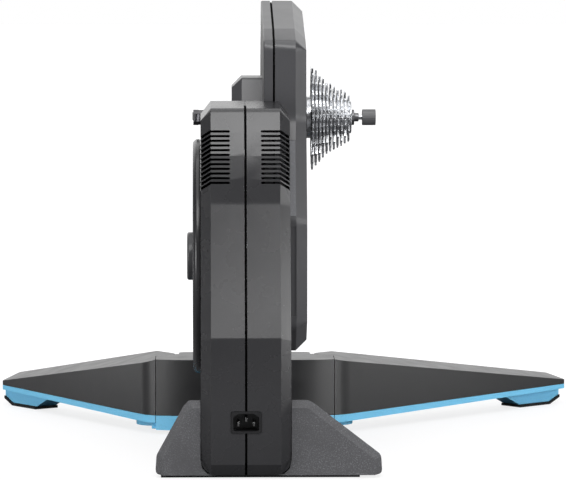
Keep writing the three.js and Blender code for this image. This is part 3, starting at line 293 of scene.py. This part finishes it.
# Finishes by material slot
AXIS = (AXLE_Y, AXLE_Z)
SHELL = (0.028, 0.028, 0.030)
COVER = (0.056, 0.056, 0.060)
# The second colour of the foot and of the rim is a painted sparkle on their grain's high spots
FOOT, FOOT_SPARKLE = (0.074, 0.074, 0.079), (0.145, 0.147, 0.156)
RIM, RIM_SPARKLE = (0.15, 0.152, 0.162), (0.2, 0.202, 0.215)
BLUE = (0.19, 0.60, 0.90)
FINISHES = {
    "shell_grey": moulded("shell_grey", SHELL, 0.27),
    "cover_grey": moulded("cover_grey", COVER, 0.33),
    "texture_grey": coarse("texture_grey", FOOT, FOOT_SPARKLE),
    "deep_black": sealing("deep_black"),
    "leg_black": coated("leg_black", (0.015, 0.015, 0.016), 0.38),
    "tray_blue": moulded("tray_blue", BLUE, 0.42, lighter=1.05, wear=0.3),
    "rubber_black": rubber("rubber_black"),
    "bright_steel": machined("bright_steel", (0.55, 0.56, 0.58), 0.26, AXIS),
    "dark_steel": machined("dark_steel", (0.10, 0.105, 0.11), 0.4, AXIS),
    "cast_aluminium": machined("cast_aluminium", (0.42, 0.43, 0.45), 0.45),
    "board_green": circuit("board_green"),
}

# Nodes whose finish differs from the rest of their slot
NODE_FINISHES = {
    "rim_cover": coarse("rim_texture", RIM, RIM_SPARKLE),
    "inlet_housing": moulded("inlet_black", (0.012, 0.012, 0.013), 0.3, wear=0.8),
    "skewer_head": machined("head_steel", (0.11, 0.11, 0.115), 0.35, AXIS),
    "skewer_lever": machined("lever_steel", (0.06, 0.06, 0.065), 0.35),
    "skewer_nut": coated("nut_grey", (0.07, 0.07, 0.073), 0.4),
    "right_end_cap": machined("cap_steel", (0.16, 0.16, 0.165), 0.35, AXIS),
}
for pin in ("line", "earth", "neutral"):
    NODE_FINISHES[f"inlet_pin_{pin}"] = machined(f"pin_{pin}", (0.22, 0.22, 0.22), 0.3)

# Width of the rounding along each node's edges, and the least turn that counts as an edge
EDGES = {
    "shell_left": 0.0006,
    "shell_right": 0.0006,
    "belt_cover_left": 0.0012,
    "belt_cover_right": 0.0012,
    "flywheel_cover": 0.0012,
    "base_foot": 0.002,
    "left_leg_shell": 0.0013,
    "right_leg_shell": 0.0013,
    "hub_shell": 0.0008,
    "left_leg_tray": 0.0012,
    "right_leg_tray": 0.0012,
    "hub_tray": 0.0012,
}
OTHER_EDGES = 0.0004
EDGE_TURN = math.radians(28)
WELD_REACH = 0.000002


def soften(piece, width, segments=3):
    """Joins the triangles, rounds the sharp edges and shades what is round as round."""
    for face in piece.data.polygons:
        face.use_smooth = True
    weld = piece.modifiers.new("weld", "WELD")
    weld.merge_threshold = WELD_REACH
    bevel = piece.modifiers.new("edges", "BEVEL")
    bevel.width = width
    bevel.segments = segments
    bevel.limit_method = "ANGLE"
    bevel.angle_limit = EDGE_TURN
    bevel.use_clamp_overlap = True
    split = piece.modifiers.new("sharp", "EDGE_SPLIT")
    split.split_angle = EDGE_TURN
    piece.modifiers.new("normals", "WEIGHTED_NORMAL")


def dress_cad_nodes():
    """Gives each CAD node its finish, soft edges and smooth round faces."""
    slots = {row["node"]: row["material_slot"] for row in frame["record"]["subparts"]}
    for name, node in nodes.items():
        node.data.materials.clear()
        node.data.materials.append(NODE_FINISHES.get(name) or FINISHES[slots[name]])
        soften(node, EDGES.get(name, OTHER_EDGES))


# Small pieces that the CAD frame leaves plain, each an outline drawn out along X or Y
def prism(name, outline, start, end, slot, edge=0.0003, along="y"):
    """Draws an outline of [x, z] or [y, z] points out between two places, in millimetres."""
    count = len(outline)
    points = [(a * MM, place * MM, z * MM) for place in (start, end) for a, z in outline]
    if along == "x":
        points = [(x, y, z) for y, x, z in points]
    faces = [tuple(range(count)), tuple(reversed(range(count, 2 * count)))]
    for i in range(count):
        after = (i + 1) % count
        faces.append((i, i + count, after + count, after))
    mesh = bpy.data.meshes.new(name)
    mesh.from_pydata(points, [], faces)
    mesh.update()
    piece = bpy.data.objects.new(name, mesh)
    scene.collection.objects.link(piece)
    mesh.materials.append(FINISHES[slot])
    soften(piece, edge, segments=2)
    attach(piece, "frame")


def arc(middle_x, middle_z, radius, start, steps=8):
    """The points of a quarter turn that begins at that angle, in degrees."""
    turns = [math.radians(start + 90 * i / steps) for i in range(steps + 1)]
    return [(middle_x + radius * math.cos(t), middle_z + radius * math.sin(t)) for t in turns]


def tower_sides():
    """Where the tower's left and right faces are along X, in millimetres."""
    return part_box("shell_left")[0][0] / MM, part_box("shell_right")[1][0] / MM


HEEL_ROUND = 15
HEEL_STRIP = 5
HEEL_STRIP_REAR, HEEL_STRIP_FRONT = -322, -314


def make_heel_corners():
    """Fills the foot's opening outside the heel's two bevelled corners."""
    left, right = tower_sides()
    middle_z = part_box("shell_left")[0][2] / MM + HEEL_ROUND
    corners = (("left", left + HEEL_ROUND, 180), ("right", right - HEEL_ROUND, 270))
    for side, middle_x, start in corners:
        outer = arc(middle_x, middle_z, HEEL_ROUND, start)
        inner = arc(middle_x, middle_z, HEEL_ROUND - HEEL_STRIP, start)
        outline = outer + inner[::-1]
        prism(f"heel_corner_{side}", outline, HEEL_STRIP_REAR, HEEL_STRIP_FRONT, "shell_grey")


TAB_MIDDLES = {"left": -142.2, "right": 49.2}
TAB_HALF = 3.3
TAB_LOW, TAB_HIGH = 4.8, 11
TAB_REAR, TAB_FRONT = 31, 44
TAB_EDGE = 0.0006


def make_hinge_tabs():
    """The blue lugs that close each hinge from below, at the gap between hub and leg."""
    for side, middle in TAB_MIDDLES.items():
        left, right = middle - TAB_HALF, middle + TAB_HALF
        outline = [(left, TAB_LOW), (right, TAB_LOW), (right, TAB_HIGH), (left, TAB_HIGH)]
        prism(f"hinge_tab_{side}", outline, TAB_REAR, TAB_FRONT, "tray_blue", TAB_EDGE)


# Near-black sheets behind the cooling slots: painted shade for the tower's dark inside
SHADE_SHEET_OUTLINE = [(-211, 331), (-254, 331), (-264, 304), (-271, 276), (-211, 276)]
SHADE_SHEET_OUTSIDE, SHADE_SHEET_INSIDE = 0.4, 2
SHADE_SHEET_EDGE = 0.0002


def make_slot_shade_sheets():
    """Near-black sheets inside the two side walls: painted shade, which keeps the cooling slots
    dark where light would come through.
    """
    left, right = tower_sides()
    places = {
        "left": (left + SHADE_SHEET_OUTSIDE, left + SHADE_SHEET_INSIDE),
        "right": (right - SHADE_SHEET_INSIDE, right - SHADE_SHEET_OUTSIDE),
    }
    for side, (start, end) in places.items():
        name = f"slot_shade_sheet_{side}"
        prism(name, SHADE_SHEET_OUTLINE, start, end, "deep_black", SHADE_SHEET_EDGE, along="x")


# Studio: a pale floor that fades into the background, and large soft lamps
FLOOR_SIZE = 40
FLOOR_DROP = 0.0002
# The floor's colour near the object is darker than further out: painted shade round the object,
# fading out between 0.5 m and 1.2 m
FLOOR_PAINTED_SHADE, FLOOR_FAR = (0.18, 0.18, 0.185), (0.36, 0.36, 0.37)
FLOOR_SHADE_FADE = (0.5, 1.2)
FLOOR_GLOW = (0.8, 1)
FLOOR_GLOW_FADE = (0.4, 1.1)
ROOM_LEVEL = 0.06
BACKDROP_LEVEL = 1.25
ROOM_EDGE = (0.4, 0.95)
# Place, what it faces, size and power
LAMPS = {
    "top": ((0.0, -0.1, 2.3), (0, -0.1, 0), (2.2, 2.2), 29),
    "above_behind": ((-0.1, -2.1, 2.3), (0, -0.3, 0.3), (1.7, 1.3), 48),
    "left": ((-1.15, -1.1, 0.27), (-0.1, 0, 0.1), (0.8, 0.5), 9.5),
    "right": ((0.95, -1.2, 0.27), (0.05, 0, 0.1), (0.8, 0.5), 9.5),
    "left_low": ((-1.0, 0.36, 0.19), (-0.15, 0.05, 0.05), (0.25, 0.34), 1.1),
    "right_low": ((1.05, 0.12, 0.2), (0, -0.1, 0.15), (0.2, 0.36), 1.2),
    "right_high": ((2.0, -0.17, 0.62), (0, -0.17, 0.4), (0.4, 0.46), 3.4),
}


def make_floor():
    """Grey to the object, with painted shade darkening it within about a metre of the object;
    white to the camera except for the object's shadow.
    """
    bpy.ops.mesh.primitive_plane_add(size=FLOOR_SIZE, location=(0, 0, -FLOOR_DROP))
    floor = bpy.context.object
    floor.name = "floor"
    shader = Shader("floor", FLOOR_PAINTED_SHADE, 0.7, specular=0.1)
    shader.bump(shader.noise(0.01, 3), 0.00005)
    path = shader.node("ShaderNodeLightPath")
    length = shader.node("ShaderNodeVectorMath", operation="LENGTH")
    shader.link(shader.place, length.inputs[0])
    distance = length.outputs["Value"]
    # Painted shade: the darker near colour gives way to the paler far colour with distance from
    # the object
    shader.vary_color(distance, FLOOR_FAR, *FLOOR_SHADE_FADE)
    seen = shader.node("ShaderNodeMath", operation="MULTIPLY")
    shader.link(path.outputs["Is Camera Ray"], seen.inputs[0])
    shader.link(shader.ramp(distance, *FLOOR_GLOW, *FLOOR_GLOW_FADE), seen.inputs[1])
    shader.set("Emission Color", (1, 1, 1, 1))
    shader.link(seen.outputs["Value"], shader.bsdf.inputs["Emission Strength"])
    floor.data.materials.append(shader.material)


def make_world():
    """White to camera and transmission rays; else bright ahead of the trainer and dim behind."""
    world = bpy.data.worlds.new("studio")
    world.use_nodes = True
    scene.world = world
    tree = world.node_tree
    background = tree.nodes["Background"]
    path = tree.nodes.new("ShaderNodeLightPath")
    either = tree.nodes.new("ShaderNodeMath")
    either.operation = "MAXIMUM"
    tree.links.new(path.outputs["Is Camera Ray"], either.inputs[0])
    tree.links.new(path.outputs["Is Transmission Ray"], either.inputs[1])
    place = tree.nodes.new("ShaderNodeTexCoord")
    apart = tree.nodes.new("ShaderNodeSeparateXYZ")
    tree.links.new(place.outputs["Generated"], apart.inputs["Vector"])
    ahead = tree.nodes.new("ShaderNodeMapRange")
    ahead.interpolation_type = "SMOOTHSTEP"
    ahead.inputs["From Min"].default_value = ROOM_EDGE[0]
    ahead.inputs["From Max"].default_value = ROOM_EDGE[1]
    ahead.inputs["To Min"].default_value = ROOM_LEVEL
    ahead.inputs["To Max"].default_value = BACKDROP_LEVEL
    tree.links.new(apart.outputs["Y"], ahead.inputs["Value"])
    level = tree.nodes.new("ShaderNodeMapRange")
    level.inputs["To Max"].default_value = 1
    tree.links.new(ahead.outputs["Result"], level.inputs["To Min"])
    tree.links.new(either.outputs["Value"], level.inputs["Value"])
    tree.links.new(level.outputs["Result"], background.inputs["Strength"])
    background.inputs["Color"].default_value = (1, 1, 1, 1)


def make_lamp(name, place, target, size, power):
    data = bpy.data.lights.new(name, "AREA")
    data.shape = "RECTANGLE"
    data.size, data.size_y = size
    data.energy = power
    light = bpy.data.objects.new(name, data)
    light.location = place
    light.rotation_mode = "QUATERNION"
    light.rotation_quaternion = (Vector(target) - Vector(place)).to_track_quat("-Z", "Y")
    light.visible_camera = False
    scene.collection.objects.link(light)


make_camera()
make_floor()
make_world()
for lamp_name, values in LAMPS.items():
    make_lamp(lamp_name, *values)
dress_cad_nodes()
make_heel_corners()
make_hinge_tabs()
make_slot_shade_sheets()
